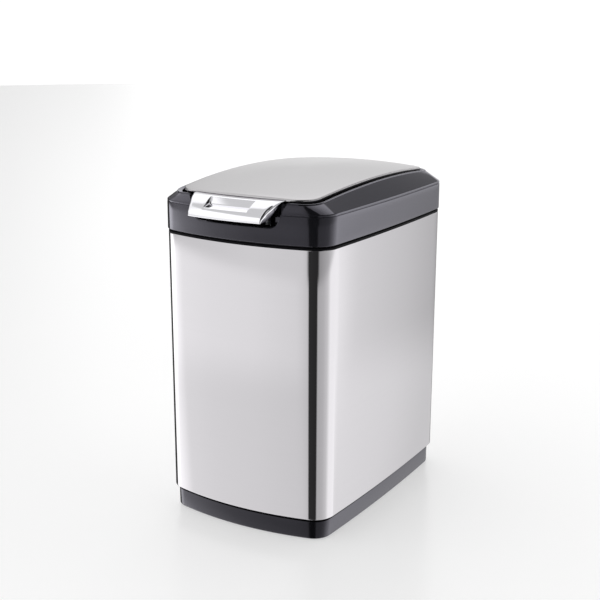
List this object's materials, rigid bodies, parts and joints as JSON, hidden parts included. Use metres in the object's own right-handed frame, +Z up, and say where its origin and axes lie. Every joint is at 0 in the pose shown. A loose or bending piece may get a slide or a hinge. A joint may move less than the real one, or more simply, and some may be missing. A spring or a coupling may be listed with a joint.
{
  "type": "push top countertop bin",
  "caption": "Rectangular countertop bin with a stainless wrap on a plastic base, lift-out inner bucket, lift-off black collar and a hinged arched lid released by a chromed push bar.",
  "frame": {"origin": "centre of the whole object's plan box, on the surface its feet stand on", "axes": "+Z up, -Y the front with the push bar, +X the right-hand side seen in the picture"},
  "size_m": [0.1612, 0.2472, 0.2873],
  "materials": {
    "steel_wrap": "polished",
    "steel_lid": "satin brushed",
    "black_plastic": "satin moulded",
    "dark_plastic": "fine textured",
    "bucket_plastic": "moulded",
    "zinc_steel": "zinc plated",
    "rubber": "matt",
    "chrome_bar": "bright satin chrome"
  },
  "bodies": {
    "base_body": {"outer_shell": "steel_wrap", "body_rim": "black_plastic", "base_tray": "black_plastic", "clamp_ring": "dark_plastic", "base_screws": "zinc_steel", "rubber_feet": "rubber"},
    "bucket_body": {"inner_bucket": "bucket_plastic"},
    "collar_body": {"collar": "black_plastic", "collar_frame": "dark_plastic", "collar_screws": "zinc_steel", "hinge_pins": "zinc_steel", "damper_housing": "dark_plastic", "lid_springs": "zinc_steel", "latch_pins": "zinc_steel", "latch_springs": "zinc_steel", "lid_bumpers": "rubber"},
    "lid_body": {"lid_panel": "steel_lid", "lid_frame": "dark_plastic", "lid_striker": "zinc_steel", "striker_screws": "zinc_steel", "damper_rotor": "zinc_steel"},
    "latch_body": {"push_bar": "chrome_bar", "latch_lever": "dark_plastic", "latch_screws": "zinc_steel"}
  },
  "joints": [
    {"name": "bucket_lift", "type": "slide", "parent": "base_body", "child": "bucket_body", "axis": [0, 0, 1], "range_m": [0, 0.225]},
    {"name": "collar_lift", "type": "slide", "parent": "bucket_body", "child": "collar_body", "axis": [0, 0, 1], "range_m": [0, 0.06]},
    {"name": "lid_hinge", "type": "hinge", "parent": "collar_body", "child": "lid_body", "pos_m": [0, 0.09772, 0.2776], "axis": [-1, 0, 0], "range_deg": [0, 80], "deforming": ["lid_springs"]},
    {"name": "bar_press", "type": "hinge", "parent": "collar_body", "child": "latch_body", "pos_m": [0, -0.08828, 0.264], "axis": [1, 0, 0], "range_deg": [0, 7], "stiffness_Nm_per_rad": 0.6, "springref_deg": -6.88, "deforming": ["latch_springs"]}
  ]
}
